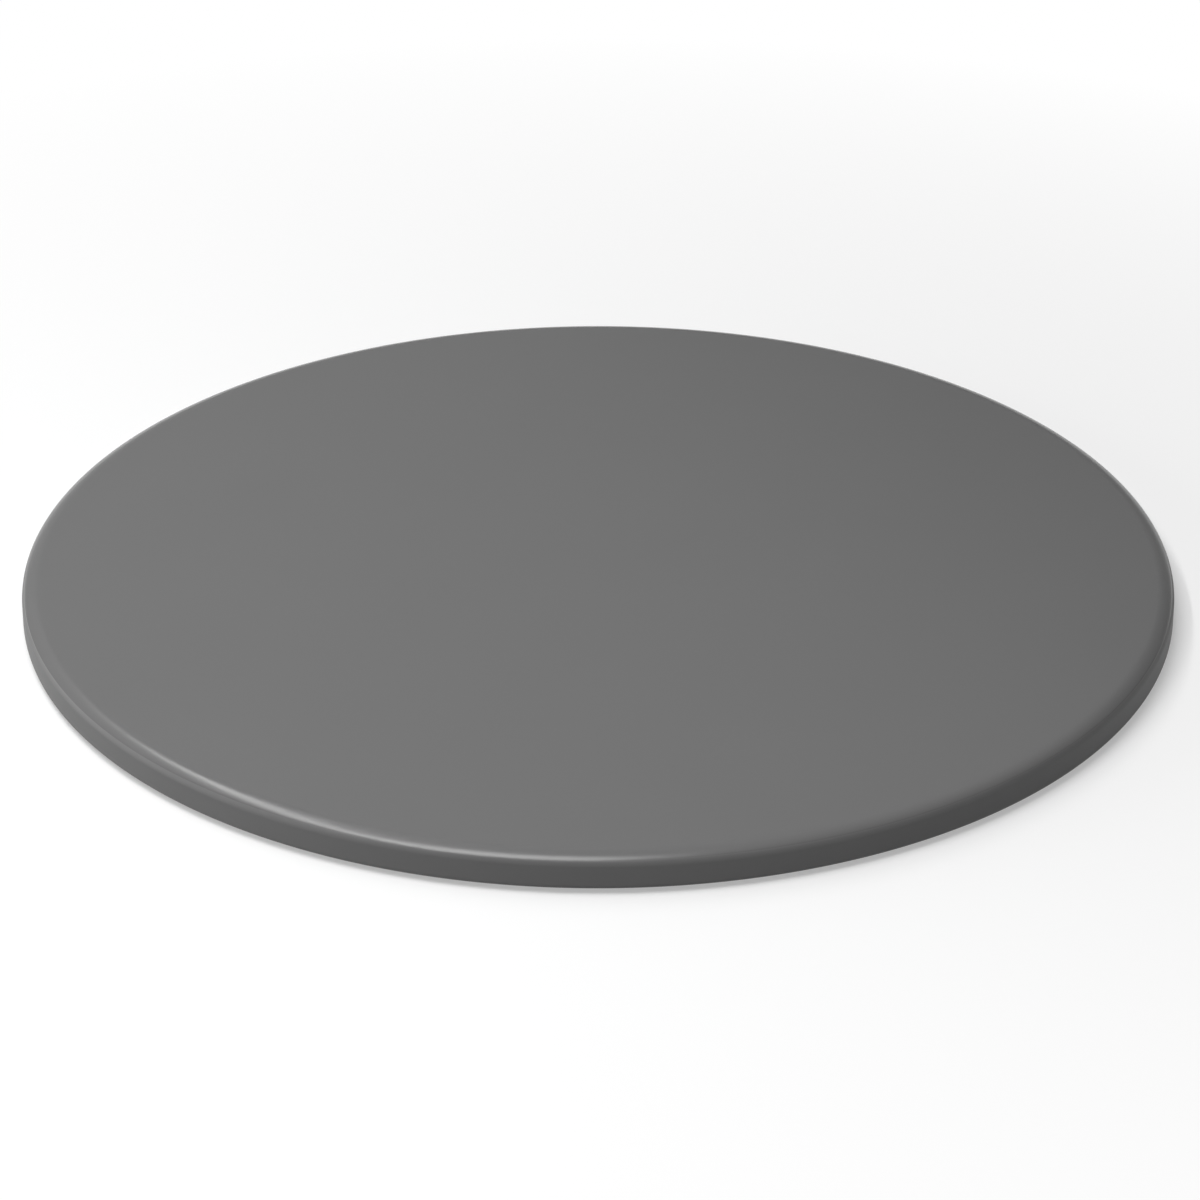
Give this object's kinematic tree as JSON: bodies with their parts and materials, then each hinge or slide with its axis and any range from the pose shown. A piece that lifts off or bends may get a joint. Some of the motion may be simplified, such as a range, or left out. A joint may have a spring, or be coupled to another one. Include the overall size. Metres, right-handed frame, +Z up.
{
  "type": "pizza stone",
  "caption": "Round flat glazed ceramic pizza stone with a softly rounded rim, standing on low bare foot rings.",
  "frame": {"origin": "centre of the plane that the foot rings stand on", "axes": "+Z up along the stone's axis, from the foot rings to the baking face; the stone is round, so X and Y are free"},
  "size_m": [0.37, 0.37, 0.0125],
  "materials": {
    "bare_ceramic": "matt, unglazed",
    "glaze": "satin"
  },
  "bodies": {
    "root": {"ceramic_body": "bare_ceramic", "outer_glaze": "glaze", "underside_glaze_band": "glaze", "underside_glaze_centre": "glaze"}
  },
  "joints": []
}
